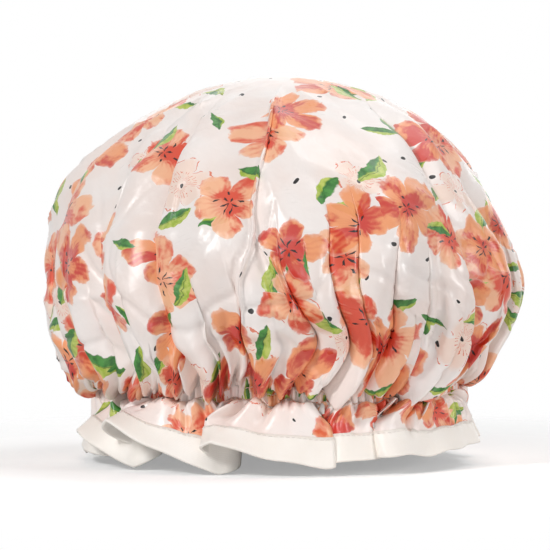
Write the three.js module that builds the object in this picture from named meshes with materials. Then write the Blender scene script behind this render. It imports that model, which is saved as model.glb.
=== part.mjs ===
// Bouffant shower cap, filled out as it is on a head and standing on its frill.
// A printed satin crown and a waterproof lining are gathered together on an elastic ring.
// Two seams beside the ring make the channel that holds it. Below the channel both layers run on
// as a fluted frill, and an ivory binding folds round the frill's raw edges.
// Millimetres, +Z up, front towards -Y, origin under the middle of the cap on the table.
import * as THREE from "three";

const { degToRad, euclideanModulo, lerp } = THREE.MathUtils;

// Crown: a slightly pointed ellipse from the top to the fullest level, and a shallower one that draws
// in below it. Point 2 would be a true ellipse. Its lower edge hangs over the channel, lowest and fullest
// at the left.
const CROWN_WIDTH = 252;
const CROWN_RISE = 105;
const CROWN_POINT = 1.83;
const CROWN_UNDERCUT = 52;
const CROWN_OVERHANG = 14;
const LEFT_FULLNESS = 5;
const LOBE_DEPTH = 9;
const FRONT_SAG = 3;
const LEFT_SAG = 9;
const RIGHT_SAG = 6;
const NECK_RISE = 3;

// Elastic ring, as stretched to the girth of a head, and the channel sewn round it
const ELASTIC_RADIUS = 88;
const ELASTIC_WIDTH = 6;
const ELASTIC_THICKNESS = 1;
const SEAM_INSET = 0.5;
const SEAM_MARGIN = 1;

// Frill and its binding. Between its valleys the frill first goes out over a rounded shoulder.
const FRILL_LENGTH = 34.5;
const FRILL_NECK = 2;
const SHOULDER_AT_VALLEY = 4;
const SHOULDER_AT_CREST = 9;
const SHOULDER_DROP = 3;
const FLARE_AT_VALLEY = degToRad(3);
const FLARE_AT_CREST = degToRad(20);
const BINDING_WIDTH = 13;
const FOLD_ROOM = 0.5;
const HEM_SEAM_INSET = 1;
const HEM_SETTLE = 1.5;

// Cloth and thread
const SATIN_THICKNESS = 0.6;
const LINING_THICKNESS = 0.4;
const BINDING_THICKNESS = 0.6;
const THREAD_DIAMETER = 0.6;
const CLEARANCE = 0.3;

// Creases between the lobes of the crown, and valleys between the flutes of the frill.
// Bearings are in degrees from the front, to the right. Strength scales a crease's depth, or how far
// the flutes beside a valley stand out.
const CREASES = [
  { bearing: -176, strength: 0.9 },
  { bearing: -153, strength: 0.7 },
  { bearing: -128, strength: 1.0 },
  { bearing: -102, strength: 0.8 },
  { bearing: -77, strength: 0.9 },
  { bearing: -51, strength: 1.1 },
  { bearing: -31, strength: 1.0 },
  { bearing: -7, strength: 0.5 },
  { bearing: 18, strength: 0.6 },
  { bearing: 46, strength: 1.1 },
  { bearing: 70, strength: 0.9 },
  { bearing: 94, strength: 0.8 },
  { bearing: 116, strength: 1.0 },
  { bearing: 139, strength: 0.7 },
  { bearing: 162, strength: 0.9 },
];
const VALLEYS = [
  { bearing: -172, strength: 0.9 },
  { bearing: -140, strength: 1.0 },
  { bearing: -107, strength: 0.8 },
  { bearing: -75, strength: 0.9 },
  { bearing: -50, strength: 1.1 },
  { bearing: -19, strength: 1.0 },
  { bearing: 12, strength: 0.9 },
  { bearing: 32, strength: 1.0 },
  { bearing: 74, strength: 0.9 },
  { bearing: 102, strength: 0.9 },
  { bearing: 131, strength: 1.0 },
  { bearing: 158, strength: 0.9 },
];

// Where the columns of a lobe or a flute stand, as shares of the way from one fold to the next.
// They crowd towards the folds, where the cloth turns most.
const LOBE_COLUMNS = [0, 0.2, 0.5, 0.8];
const FLUTE_COLUMNS = [0, 0.1, 0.25, 0.5, 0.75, 0.9];
const CROWN_ROWS = 7;

// Levels that follow from the sizes above: the frill's valleys settle on the table
const HEM_EDGE = BINDING_THICKNESS + CLEARANCE;
const FLARED_LENGTH = FRILL_LENGTH - FRILL_NECK - SHOULDER_DROP;
const VALLEY_DROP = FRILL_NECK + SHOULDER_DROP + FLARED_LENGTH * Math.cos(FLARE_AT_VALLEY);
const FRILL_TOP = HEM_EDGE + VALLEY_DROP - HEM_SETTLE;
const CHANNEL_BOTTOM = FRILL_TOP + CLEARANCE;
const SEAM_FROM_MIDDLE = ELASTIC_WIDTH / 2 + SEAM_INSET + THREAD_DIAMETER / 2;
const CHANNEL_MIDDLE = CHANNEL_BOTTOM + SEAM_MARGIN + THREAD_DIAMETER / 2 + SEAM_FROM_MIDDLE;
const CHANNEL_TOP = 2 * CHANNEL_MIDDLE - CHANNEL_BOTTOM;
const FULLEST_LEVEL = CHANNEL_TOP + CROWN_UNDERCUT;

// Half the space between satin and lining: where they lie together, and round the elastic
const LAYERS_TOGETHER = CLEARANCE / 2;
const LAYERS_ROUND_ELASTIC = ELASTIC_THICKNESS / 2 + CLEARANCE;

// The columns of a gathered piece: each has a direction from the axis and its place between folds
function columnsBetween(folds, shares) {
  return folds.flatMap((fold, i) => {
    const next = folds[(i + 1) % folds.length];
    const span = euclideanModulo(next.bearing - fold.bearing, 360);
    return shares.map((share) => {
      const turn = degToRad(fold.bearing + share * span);
      return {
        share,
        strength: lerp(fold.strength, next.strength, share),
        outward: new THREE.Vector3(Math.sin(turn), -Math.cos(turn), 0),
      };
    });
  });
}

function pointAt(column, radius, height) {
  return column.outward.clone().multiplyScalar(radius).setZ(height);
}

// Round lobes that meet in sharp creases: 0 in a crease, 1 on a crest
function lobe(column) {
  return Math.sin(Math.PI * column.share) ** 0.7;
}

// Broad flutes with narrow valleys: 0 in a valley, 1 on a crest
function flute(column) {
  return 1 - Math.abs(Math.cos(Math.PI * column.share)) ** 7;
}

// Rows of points down the crown: over the ellipse, up into the neck and down the channel
function crownRows(columns) {
  const fullestRadius = CROWN_WIDTH / 2;
  const lowestAngle = Math.PI - Math.asin((ELASTIC_RADIUS + CROWN_OVERHANG) / fullestRadius);
  const undercutReach = CROWN_UNDERCUT / -Math.cos(lowestAngle);
  const rows = [[new THREE.Vector3(0, 0, FULLEST_LEVEL + CROWN_RISE)]];
  for (let i = 1; i <= CROWN_ROWS; i++) {
    const angle = (lowestAngle * i) / CROWN_ROWS;
    const [reach, power] = angle < Math.PI / 2 ? [CROWN_RISE, 2 / CROWN_POINT] : [undercutReach, 1];
    const rise = reach * Math.sign(Math.cos(angle)) * Math.abs(Math.cos(angle)) ** power;
    const depth = LOBE_DEPTH * Math.sin(angle) ** 2;
    const droop = Math.max(0, Math.cos(angle) / Math.cos(lowestAngle));
    const row = columns.map((column) => {
      const sideSag = column.outward.x < 0 ? LEFT_SAG : RIGHT_SAG;
      const sag = lerp(FRONT_SAG, sideSag, Math.abs(column.outward.x)) * droop * lobe(column);
      const crease = depth * column.strength * (1 - lobe(column));
      const fullness = LEFT_FULLNESS * Math.max(0, -column.outward.x) * droop;
      const radius = fullestRadius * Math.sin(angle) ** power + fullness - crease;
      return pointAt(column, radius, FULLEST_LEVEL + rise - sag);
    });
    rows.push(row);
  }
  for (const height of [CHANNEL_TOP + NECK_RISE, CHANNEL_TOP, CHANNEL_BOTTOM])
    rows.push(columns.map((column) => pointAt(column, ELASTIC_RADIUS, height)));
  return rows;
}

// Rows of points down the frill, from the channel to its raw edge: straight down the neck, out over
// the shoulder, then flared to the binding's upper edge and to the raw edge
function frillRows(columns) {
  const neck = [0, FRILL_NECK].map((drop) =>
    columns.map((column) => pointAt(column, ELASTIC_RADIUS, FRILL_TOP - drop)),
  );
  const flared = [0, FLARED_LENGTH - BINDING_WIDTH, FLARED_LENGTH].map((along) =>
    columns.map((column) => {
      const crest = flute(column) * column.strength;
      const flare = lerp(FLARE_AT_VALLEY, FLARE_AT_CREST, crest);
      const reach = lerp(SHOULDER_AT_VALLEY, SHOULDER_AT_CREST, crest);
      const radius = ELASTIC_RADIUS + reach + along * Math.sin(flare);
      const shoulder = FRILL_TOP - FRILL_NECK - SHOULDER_DROP * Math.max(0, 1 - crest);
      return pointAt(column, radius, Math.max(shoulder - along * Math.cos(flare), HEM_EDGE));
    }),
  );
  return [...neck, ...flared];
}

// The unit normals of the faces round a point of a grid that closes on itself sideways
function faceNormals(rows, i, j) {
  const at = (row, column) => row[euclideanModulo(column, row.length)];
  const normals = [];
  for (const above of [i - 1, i]) {
    if (above < 0 || above + 1 >= rows.length) continue;
    const [upper, lower] = [rows[above], rows[above + 1]];
    for (const left of [j - 1, j]) {
      const falling = at(lower, left + 1).clone().sub(at(upper, left));
      const rising = at(upper, left + 1).clone().sub(at(lower, left));
      normals.push(falling.cross(rising).normalize());
    }
  }
  return normals;
}

// The same grid moved outwards, further at a corner so that the cloth keeps its thickness there
function offsetRows(rows, distanceOfRow) {
  const sharpestCorner = 0.6;
  return rows.map((row, i) =>
    row.map((point, j) => {
      if (row.length === 1) return point.clone().setZ(point.z + distanceOfRow(i));
      const normals = faceNormals(rows, i, j);
      const mean = normals.reduce((sum, n) => sum.add(n), new THREE.Vector3()).normalize();
      const squareness = Math.min(...normals.map((n) => n.dot(mean)));
      const distance = distanceOfRow(i) / Math.max(squareness, sharpestCorner);
      return point.clone().addScaledVector(mean, distance);
    }),
  );
}

// The triangles between two loops of points, where a loop of one point is a pole.
// Every quad is split from its upper left to its lower right, so that layers split alike can nest.
function strip(upper, lower) {
  const triangles = [];
  for (let j = 0; j < Math.max(upper.length, lower.length); j++) {
    const [a, b] = [0, 1].map((step) => upper[(j + step) % upper.length]);
    const [c, d] = [0, 1].map((step) => lower[(j + step) % lower.length]);
    if (c !== d) triangles.push([a, c, d]);
    if (a !== b) triangles.push([a, d, b]);
  }
  return triangles;
}

function strips(loops) {
  return loops.slice(1).flatMap((loop, i) => strip(loops[i], loop));
}

function turned(triangles) {
  return triangles.map(([a, b, c]) => [a, c, b]);
}

function meshOf(...faces) {
  const geometry = new THREE.BufferGeometry().setFromPoints(faces.flat(2));
  geometry.computeVertexNormals();
  return geometry;
}

// A layer of cloth between two faces that lie at these distances from the grid
function clothLayer(rows, innerDistance, outerDistance) {
  const outer = offsetRows(rows, outerDistance);
  const inner = offsetRows(rows, innerDistance);
  const upperEdge = rows[0].length === 1 ? [] : strip(inner[0], outer[0]);
  const lowerEdge = strip(outer.at(-1), inner.at(-1));
  return meshOf(strips(outer), turned(strips(inner)), upperEdge, lowerEdge);
}

// A ring swept round the columns: section gives the corners at one column, as [radius, height]
function ring(columns, section) {
  const loops = section.map(([radius, height]) =>
    columns.map((column) => pointAt(column, radius, height)),
  );
  return meshOf(strips([...loops, loops[0]]));
}

const cap = new THREE.Group();

function addPiece(name, geometry, color, roughness) {
  const material = new THREE.MeshStandardMaterial({ color, roughness, metalness: 0 });
  const piece = new THREE.Mesh(geometry, material);
  piece.name = name;
  cap.add(piece);
}

const SATIN_COLOR = "#f3d6c8";
const SATIN_ROUGHNESS = 0.35;
const LINING_COLOR = "#eef0ee";
const LINING_ROUGHNESS = 0.45;
const IVORY = "#f5efe6";
const IVORY_ROUGHNESS = 0.55;
const ELASTIC_COLOR = "#fbfbf8";
const ELASTIC_ROUGHNESS = 0.8;

const crownColumns = columnsBetween(CREASES, LOBE_COLUMNS);
const crown = crownRows(crownColumns);
const frill = frillRows(columnsBetween(VALLEYS, FLUTE_COLUMNS));

// Satin and lining lie together over the crown, part round the elastic and close again down the frill
const lastNeckRow = crown.length - 3;
const crownGap = (row) => (row > lastNeckRow ? LAYERS_ROUND_ELASTIC : LAYERS_TOGETHER);
const frillGap = (row) => (row === 0 ? LAYERS_ROUND_ELASTIC : LAYERS_TOGETHER);

function addLayers(region, rows, gap) {
  const satin = clothLayer(rows, gap, (row) => gap(row) + SATIN_THICKNESS);
  const lining = clothLayer(rows, (row) => -gap(row) - LINING_THICKNESS, (row) => -gap(row));
  addPiece(`satin_${region}`, satin, SATIN_COLOR, SATIN_ROUGHNESS);
  addPiece(`lining_${region}`, lining, LINING_COLOR, LINING_ROUGHNESS);
}
addLayers("crown", crown, crownGap);
addLayers("frill", frill, frillGap);

function elasticGeometry() {
  const inside = ELASTIC_RADIUS - ELASTIC_THICKNESS / 2;
  const outside = ELASTIC_RADIUS + ELASTIC_THICKNESS / 2;
  const top = CHANNEL_MIDDLE + ELASTIC_WIDTH / 2;
  const bottom = CHANNEL_MIDDLE - ELASTIC_WIDTH / 2;
  return ring(crownColumns, [
    [outside, top],
    [outside, bottom],
    [inside, bottom],
    [inside, top],
  ]);
}
addPiece("elastic_band", elasticGeometry(), ELASTIC_COLOR, ELASTIC_ROUGHNESS);

// The binding: down the satin's face, under the raw edges and up the lining's face
const boundRows = frill.slice(-2);
const BOUND_SATIN_FACE = LAYERS_TOGETHER + SATIN_THICKNESS + CLEARANCE;
const BOUND_LINING_FACE = -LAYERS_TOGETHER - LINING_THICKNESS - CLEARANCE;

function boundFace(distance) {
  return offsetRows(boundRows, () => distance);
}

// The fold carries on past the raw edge, and flattens where it meets the table
function pastEdge(loop, reach, lowest) {
  return loop.map((point, j) => {
    const along = boundRows[1][j].clone().sub(boundRows[0][j]).normalize();
    const past = point.clone().addScaledVector(along, reach);
    return past.setZ(Math.max(past.z, lowest));
  });
}

function bindingGeometry() {
  const [frontTop, frontEdge] = boundFace(BOUND_SATIN_FACE + BINDING_THICKNESS);
  const [frontTopInside, frontEdgeInside] = boundFace(BOUND_SATIN_FACE);
  const [backTop, backEdge] = boundFace(BOUND_LINING_FACE - BINDING_THICKNESS);
  const [backTopInside, backEdgeInside] = boundFace(BOUND_LINING_FACE);
  const insideReach = CLEARANCE + FOLD_ROOM;
  const outsideReach = insideReach + BINDING_THICKNESS;
  const frontFold = pastEdge(frontEdge, outsideReach, 0);
  const backFold = pastEdge(backEdge, outsideReach, 0);
  const frontFoldInside = pastEdge(frontEdgeInside, insideReach, BINDING_THICKNESS);
  const backFoldInside = pastEdge(backEdgeInside, insideReach, BINDING_THICKNESS);
  return meshOf(
    strips([frontTopInside, frontTop, frontFold, backFold]),
    turned(strip(backTop, backFold)),
    strips([backTop, backTopInside, backFoldInside]),
    turned(strips([frontTopInside, frontFoldInside, backFoldInside])),
  );
}
addPiece("hem_binding", bindingGeometry(), IVORY, IVORY_ROUGHNESS);

// Sewing: one thread along each edge of the channel, and one along the binding's upper edge
const THREAD_RADIUS = THREAD_DIAMETER / 2;

function channelSeamGeometry(height) {
  const satinFace = ELASTIC_RADIUS + LAYERS_ROUND_ELASTIC + SATIN_THICKNESS;
  const middle = satinFace + CLEARANCE + THREAD_RADIUS;
  return ring(crownColumns, [
    [middle + THREAD_RADIUS, height],
    [middle, height - THREAD_RADIUS],
    [middle - THREAD_RADIUS, height],
    [middle, height + THREAD_RADIUS],
  ]);
}
const upperSeam = channelSeamGeometry(CHANNEL_MIDDLE + SEAM_FROM_MIDDLE);
const lowerSeam = channelSeamGeometry(CHANNEL_MIDDLE - SEAM_FROM_MIDDLE);
addPiece("channel_seam_upper", upperSeam, IVORY, IVORY_ROUGHNESS);
addPiece("channel_seam_lower", lowerSeam, IVORY, IVORY_ROUGHNESS);

function hemSeamGeometry() {
  const middle = BOUND_SATIN_FACE + BINDING_THICKNESS + CLEARANCE + THREAD_RADIUS;
  const loopAt = (distance, inset) => {
    const [top, edge] = boundFace(distance);
    return top.map((point, j) => point.clone().lerp(edge[j], inset / BINDING_WIDTH));
  };
  const loops = [
    loopAt(middle + THREAD_RADIUS, HEM_SEAM_INSET),
    loopAt(middle, HEM_SEAM_INSET + THREAD_RADIUS),
    loopAt(middle - THREAD_RADIUS, HEM_SEAM_INSET),
    loopAt(middle, HEM_SEAM_INSET - THREAD_RADIUS),
  ];
  return meshOf(strips([...loops, loops[0]]));
}
addPiece("hem_seam", hemSeamGeometry(), IVORY, IVORY_ROUGHNESS);

// The folds are uneven, so the middle of the whole cap is brought over the origin
const middle = new THREE.Box3().setFromObject(cap).getCenter(new THREE.Vector3());
cap.position.set(-middle.x, -middle.y, 0);

export default cap;
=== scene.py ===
# %% [markdown]
# A satin shower cap. The real cap is two round sheets, printed satin outside and a waterproof film
# inside, gathered together on an elastic ring. Below the ring both run on as a frill, and an ivory
# binding folds round the frill's raw edges. The packed solids are loaded first. They set the size of
# everything that follows, and every cloth piece below takes the place of one of them.

# %% Load the packed solids
import math

import bpy
import numpy as np
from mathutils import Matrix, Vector


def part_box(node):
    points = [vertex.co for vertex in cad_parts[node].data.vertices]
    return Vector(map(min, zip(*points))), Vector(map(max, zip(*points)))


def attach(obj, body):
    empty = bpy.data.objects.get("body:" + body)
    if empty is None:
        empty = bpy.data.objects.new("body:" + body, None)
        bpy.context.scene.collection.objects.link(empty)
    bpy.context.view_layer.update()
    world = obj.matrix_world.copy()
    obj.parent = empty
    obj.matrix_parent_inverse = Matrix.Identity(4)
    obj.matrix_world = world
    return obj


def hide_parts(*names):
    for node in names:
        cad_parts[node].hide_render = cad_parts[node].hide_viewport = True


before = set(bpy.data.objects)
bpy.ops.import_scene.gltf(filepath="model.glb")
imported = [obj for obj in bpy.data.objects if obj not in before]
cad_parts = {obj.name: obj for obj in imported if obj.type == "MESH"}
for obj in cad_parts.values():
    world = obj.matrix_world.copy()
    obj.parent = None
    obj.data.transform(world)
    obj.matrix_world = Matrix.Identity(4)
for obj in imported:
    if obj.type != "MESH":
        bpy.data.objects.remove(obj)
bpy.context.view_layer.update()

MM = 0.001
FULL_TURN = 2 * math.pi

# %% [markdown]
# The camera stands almost level with the cap and about 2 m away, as for a product photograph. A long
# lens from there keeps the crown's outline close to the photograph's. The sizes are worked out for a
# square picture.

# %% Set up the camera
CAMERA_DISTANCE = 2.0
CAMERA_RISE = math.radians(2.0)
CAMERA_AIM = Vector((-0.0037, 0, 0.0973))
PICTURE_PIXELS = 550
MILLIMETRES_TO_A_PIXEL = 0.525
PICTURE_WIDTH = PICTURE_PIXELS * MILLIMETRES_TO_A_PIXEL * MM

scene = bpy.context.scene
scene.view_settings.view_transform = "Standard"
camera = bpy.data.objects.new("camera", bpy.data.cameras.new("camera"))
scene.collection.objects.link(camera)
scene.camera = camera
back = Vector((0, -math.cos(CAMERA_RISE), math.sin(CAMERA_RISE)))
camera.location = CAMERA_AIM + back * CAMERA_DISTANCE
camera.rotation_euler = (-back).to_track_quat("-Z", "Y").to_euler()
camera.data.sensor_width = 36
camera.data.lens = camera.data.sensor_width * CAMERA_DISTANCE / PICTURE_WIDTH
print("lens", round(camera.data.lens, 1), "mm at", CAMERA_DISTANCE, "m")

# %% [markdown]
# Cloth is easiest to think of as it lay on the cutting table. Every point of the satin has a place on
# a flat circle: its distance from the middle and its direction there. What gathers, folds and flutes
# do is move that point in space. So the shape is worked out row by row, from the middle of the circle
# to its raw edge, and the flat place is kept for the print. The sizes come from the solids, and where
# the cloth lies against the elastic it is at the bare radius.

# %% Take sizes from the solids
crown_low, crown_high = (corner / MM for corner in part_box("satin_crown"))
elastic_low, elastic_high = (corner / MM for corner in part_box("elastic_band"))
ELASTIC_HALF = 0.5
LOBE_HEIGHT = 2.5
CHANNEL_HALF = 3.4
RING_RADIUS = (elastic_high.x - elastic_low.x) / 2 - ELASTIC_HALF
RING_MIDDLE = (elastic_high.z + elastic_low.z) / 2
BARE_RADIUS = RING_RADIUS + 1
NECK_TOP = RING_MIDDLE + CHANNEL_HALF
NECK_LOW = RING_MIDDLE - CHANNEL_HALF
CROWN_TOP = crown_high.z
CROWN_RADIUS = (crown_high.x - crown_low.x) / 2 - LOBE_HEIGHT
FULLEST = CROWN_TOP - 105.5
OVERHANG_RADIUS = 103.0
FRONT_LEVEL = RING_MIDDLE + 15.0
SIDE_LEVEL = RING_MIDDLE + 1.0
FRILL_LENGTH = 41.5
BINDING_WIDTH = 16.5
print("ring", round(RING_RADIUS, 2), "at", round(RING_MIDDLE, 2), "crown", round(CROWN_RADIUS, 2))

# %% [markdown]
# The crown's outline is a meridian: a slightly pointed ellipse from the top to the fullest level, then a
# shallower one that draws in towards the elastic. At the sides it hangs down to the elastic's level
# before it turns in. It is stored by its own length, because cloth is measured along itself.

# %% Draw the meridian
MERIDIAN_STEPS = np.linspace(0, 1, 500)
POINTED = 1.83
LEAD = 7
PULL = np.array([2.5, 3.5])


def lengths_along(line):
    """How far along a line each of its points lies."""
    return np.concatenate([[0], np.cumsum(np.linalg.norm(np.diff(line, axis=0), axis=1))])


def meridian(level):
    """The outline whose lower ellipse ends at this level, as points evenly spaced along it."""
    lowest = math.pi - math.asin(OVERHANG_RADIUS / CROWN_RADIUS)
    angle = np.linspace(0, lowest, 300)
    upper = angle < math.pi / 2
    power = 2 / np.where(upper, POINTED, 2)
    radius = CROWN_RADIUS * np.sin(angle) ** power
    rise = np.where(upper, CROWN_TOP - FULLEST, (FULLEST - level) / -math.cos(lowest))
    height = FULLEST + rise * np.sign(np.cos(angle)) * np.abs(np.cos(angle)) ** power
    start = np.array([radius[-1], height[-1]])
    heading = start - np.array([radius[-2], height[-2]])
    lead = start + heading / np.linalg.norm(heading) * LEAD
    end = np.array([BARE_RADIUS, NECK_TOP])
    pull = end + PULL
    turn = np.linspace(0, 1, 60)[1:, None]
    curve = start * (1 - turn) ** 3 + 3 * lead * turn * (1 - turn) ** 2
    curve = curve + 3 * pull * turn**2 * (1 - turn) + end * turn**3
    line = np.vstack([np.stack([radius, height], axis=1), curve])
    length = lengths_along(line)
    even = MERIDIAN_STEPS * length[-1]
    return np.stack([np.interp(even, length, line[:, k]) for k in (0, 1)], axis=1), length[-1]


FRONT_MERIDIAN, front_length = meridian(FRONT_LEVEL)
SIDE_MERIDIAN, side_length = meridian(SIDE_LEVEL)
NECK_ARC = (front_length + side_length) / 2
CHANNEL_ARC = NECK_ARC + 2 * CHANNEL_HALF
EDGE_ARC = CHANNEL_ARC + FRILL_LENGTH
print("flat radius of the satin", round(EDGE_ARC, 1), "mm, to the elastic", round(NECK_ARC, 1))

# %% [markdown]
# On a flat circle there is far more cloth at the rim than the elastic has room for. High on the crown
# the surplus lies in a few long tucks: one panel runs over the next, turns back under itself and
# runs on. Each tuck below has its bearing near the top, half way down and low on the crown, in degrees
# from the front, the cloth hidden in it, how far it sinks, which panel lies on top (1 for the left one,
# -1 for the right one, or both pinched inwards, or both standing up as a ridge) and where on the meridian
# it starts and ends. Those in front follow the photograph, and so do the four small pleats there.

# %% List the tucks of the crown
PINCHED = 0
RIDGE = 2
TUCKS = [
    (-175, -176, -172, 11, 7, 1, 0.30, 0.99),
    (-152, -153, -150, 10, 6, -1, 0.40, 0.97),
    (-131, -128, -126, 12, 8, 1, 0.28, 0.99),
    (-104, -102, -98, 11, 7, -1, 0.34, 0.95),
    (-81, -77, -70, 12, 7, -1, 0.34, 0.99),
    (-58, -51, -41, 15, 8, -1, 0.30, 0.99),
    (-42, -31, -27, 13, 8, -1, 0.16, 0.96),
    (-2.0, -3.5, -7.0, 3.4, 0.6, RIDGE, 0.16, 0.90),
    (-2.0, -2.9, 0.2, 3.0, 0.6, RIDGE, 0.56, 0.86),
    (16, 18, 20, 6, 4, PINCHED, 0.42, 0.99),
    (52, 46, 51, 15, 9, 1, 0.18, 0.99),
    (76, 70, 72, 13, 8, 1, 0.24, 0.99),
    (97, 94, 95, 12, 7, 1, 0.32, 0.96),
    (118, 116, 114, 12, 8, -1, 0.28, 0.99),
    (137, 139, 138, 10, 6, 1, 0.42, 0.95),
    (162, 162, 164, 11, 7, -1, 0.30, 0.99),
]
FRONT_PLEATS = [
    (2.6, 4.0, 5.6, 4.5, 5, PINCHED, 0.50, 0.985),
    (10.6, 13.4, 15.6, 4.5, 5, PINCHED, 0.46, 0.985),
    (28.8, 28.0, 29.6, 5, 6, PINCHED, 0.48, 0.98),
    (38.6, 35.6, 40.0, 5, 6, PINCHED, 0.52, 0.985),
]
TOP, MIDDLE, LOW, LEAN = 0, 1, 2, 5
RIDGE_ROOM = 6


def short_tucks():
    """Small tucks low on each panel, most of them pinched, where the gathers run up into it."""
    random = np.random.default_rng(5)
    long_tucks = [tuck for tuck in TUCKS if tuck[LEAN] != RIDGE]
    ridges = [tuck[MIDDLE] for tuck in TUCKS if tuck[LEAN] == RIDGE]
    made = []
    for left, right in zip(long_tucks, long_tucks[1:] + long_tucks[:1]):
        span = (right[MIDDLE] - left[MIDDLE]) % 360
        count = 5 if span > 40 else 3 if span > 26 else 2 if span > 17 else int(span > 9)
        for i in range(count):
            share = (i + 1 + random.uniform(-0.25, 0.25)) / (count + 1)
            bearing = left[MIDDLE] + span * share
            top, low = (
                (1 - share) * (left[k] - left[MIDDLE]) + share * (right[k] - right[MIDDLE])
                for k in (TOP, LOW)
            )
            low += random.uniform(-2.5, 2.5)
            hidden, sink = random.uniform(5, 9), random.uniform(2, 5)
            lean = random.choice([-1, PINCHED, PINCHED, PINCHED, 1])
            start, end = random.uniform(0.5, 0.74), random.uniform(0.95, 0.99)
            if min(abs(bearing - ridge) for ridge in ridges) > RIDGE_ROOM:
                made.append((bearing + top, bearing, bearing + low, hidden, sink, lean, start, end))
    return made


ALL_TUCKS = sorted(TUCKS + short_tucks() + FRONT_PLEATS, key=lambda tuck: tuck[MIDDLE])
tuck_top, tuck_middle, tuck_low, tuck_hidden, tuck_sink = np.array(ALL_TUCKS).T[:5]
tuck_lean, tuck_start, tuck_end = np.array(ALL_TUCKS).T[5:]
tuck_sway = np.random.default_rng(6).uniform(-1, 1, (3, len(ALL_TUCKS)))
is_ridge = tuck_lean == RIDGE
print(len(ALL_TUCKS), "tucks on the crown at", np.round(tuck_middle, 1))

# %% [markdown]
# A tuck grows from nothing to its full depth on its way down, and runs out again above the elastic. On
# the flat circle the tucks are set out so that the panels between them keep their width, as they would
# on real cloth. Otherwise the print would look stretched on some panels and squeezed on others.

# %% Set the tucks out on the flat circle
TUCK_RISE = 0.42
RIDGE_RISE = 0.14
TUCK_FADE = 0.13
SET_OUT_AT = 0.8


def smooth(low, high, value):
    """0 below low, 1 above high and a smooth step between."""
    share = np.clip((value - low) / (high - low), 0.0, 1.0)
    return share * share * (3 - 2 * share)


def between(rise, full, fade, gone, value):
    """1 from full to fade, 0 before rise and after gone."""
    return smooth(rise, full, value) * (1 - smooth(fade, gone, value))


def tuck_growth(share):
    """How far each tuck is laid at this share of the way down, from 0 to 1. A ridge rises quickly."""
    fully = tuck_start + np.where(is_ridge, RIDGE_RISE, TUCK_RISE)
    return between(tuck_start, fully, tuck_end - TUCK_FADE, tuck_end, share)


def flat_bearings():
    """Where the tucks lie on the flat circle, so that the panels between them keep their width."""
    fullest_arc = SET_OUT_AT * NECK_ARC
    seen = np.diff(np.append(tuck_middle, tuck_middle[0] + 360)) * CROWN_RADIUS / fullest_arc
    hidden = 2 * np.degrees(tuck_hidden * tuck_growth(SET_OUT_AT) / fullest_arc)
    spans = seen + (hidden + np.roll(hidden, -1)) / 2
    turns = np.concatenate([[0], np.cumsum(spans * 360 / spans.sum())[:-1]])
    return turns + (tuck_middle - turns).mean()


tuck_flat = flat_bearings()
print("tucks on the flat circle", np.round(tuck_flat).astype(int))

# %% [markdown]
# Random folds need a source of smooth chance that gives the same answer each time. A sum of a few
# seeded waves does that. One kind runs round the ring, and the other runs over the flat cloth.

# %% Make two kinds of smooth chance
def ring_chance(seed, slowest, fastest):
    """Chance round the ring, from waves between these counts to a full turn."""
    random = np.random.default_rng(seed)
    waves = np.arange(slowest, fastest + 1)
    heights = random.normal(0, 1, (2, len(waves))) / math.sqrt(len(waves))

    def value(turn):
        angles = np.multiply.outer(turn, waves)
        return np.sin(angles) @ heights[0] + np.cos(angles) @ heights[1]

    return value


def drawn_chance(seed, across, along, count=30):
    """Chance over the cloth that is drawn out down the crown: long waves down and short ones across."""
    random = np.random.default_rng(seed)
    waves = random.integers(across * 0.6, across * 1.5, count)
    pace = FULL_TURN / (along * random.uniform(0.7, 2.0, count)) * random.choice([-1, 1], count)
    phase = random.uniform(0, FULL_TURN, count)

    def value(turn, arc):
        angles = np.multiply.outer(turn, waves) + pace * arc + phase
        return np.sin(angles).sum(axis=-1) / math.sqrt(count / 2)

    return value


print("chance at four bearings", np.round(ring_chance(1, 2, 7)(np.arange(4) * FULL_TURN / 4), 2))

# %% [markdown]
# Near the elastic the surplus lies in gathers. They start as ropes about 5 mm apart, and merge upwards
# into folds twice and four times as wide before they fade. Each size is a wave round the ring whose
# pace drifts, with round crests and sharp valleys, and some stretches stay almost smooth.

# %% Shape the gathers
DEEPEST = -4


def gather_wave(count, seed, calm):
    """About this many gathers to a full turn, each from a sharp valley to a round crest."""
    drift = ring_chance(seed, 2, 9)
    jitter = ring_chance(seed + 1, 10, 30)
    vigour = ring_chance(seed + 2, 3, 16)

    def value(turn):
        phase = count * turn / 2 + 2.6 * drift(turn) + 0.8 * jitter(turn)
        crest = np.abs(np.sin(phase)) ** 0.9 * 2 - 1.2
        return crest * np.clip(calm + 0.5 * vigour(turn), 0.55, 2.0)

    return value


fine_gathers = gather_wave(112, 11, 1.0)
middle_gathers = gather_wave(58, 21, 0.9)
broad_gathers = gather_wave(30, 31, 0.8)
slow_lift = ring_chance(61, 2, 7)
quick_lift = ring_chance(63, 16, 48)


def swelling(turn):
    """How far the cloth puffs out beside the elastic, from 0 to 1."""
    return np.clip(0.45 + 0.2 * middle_gathers(turn) + 0.42 * broad_gathers(turn), 0, 1)


def ring_lift(turn):
    """How far the elastic is pulled up or down out of its level, in millimetres."""
    return 0.9 * slow_lift(turn) + 0.9 * quick_lift(turn)


def gathers_above(turn, above):
    """Outward height of the gathers at a distance above the elastic's channel, in millimetres."""
    height = (
        1.6 * fine_gathers(turn) * (1 - smooth(2, 14, above))
        + 3.3 * middle_gathers(turn) * between(-3, 5, 12, 66, above)
        + 4.0 * broad_gathers(turn) * between(-2, 9, 24, 112, above)
    )
    return np.where(height < DEEPEST, DEEPEST + 0.2 * (height - DEEPEST), height)


whole_turn = np.linspace(0, FULL_TURN, 720)
print("gathers", round(np.ptp(gathers_above(whole_turn, 10)), 1), "mm deep just above the elastic")

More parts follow.
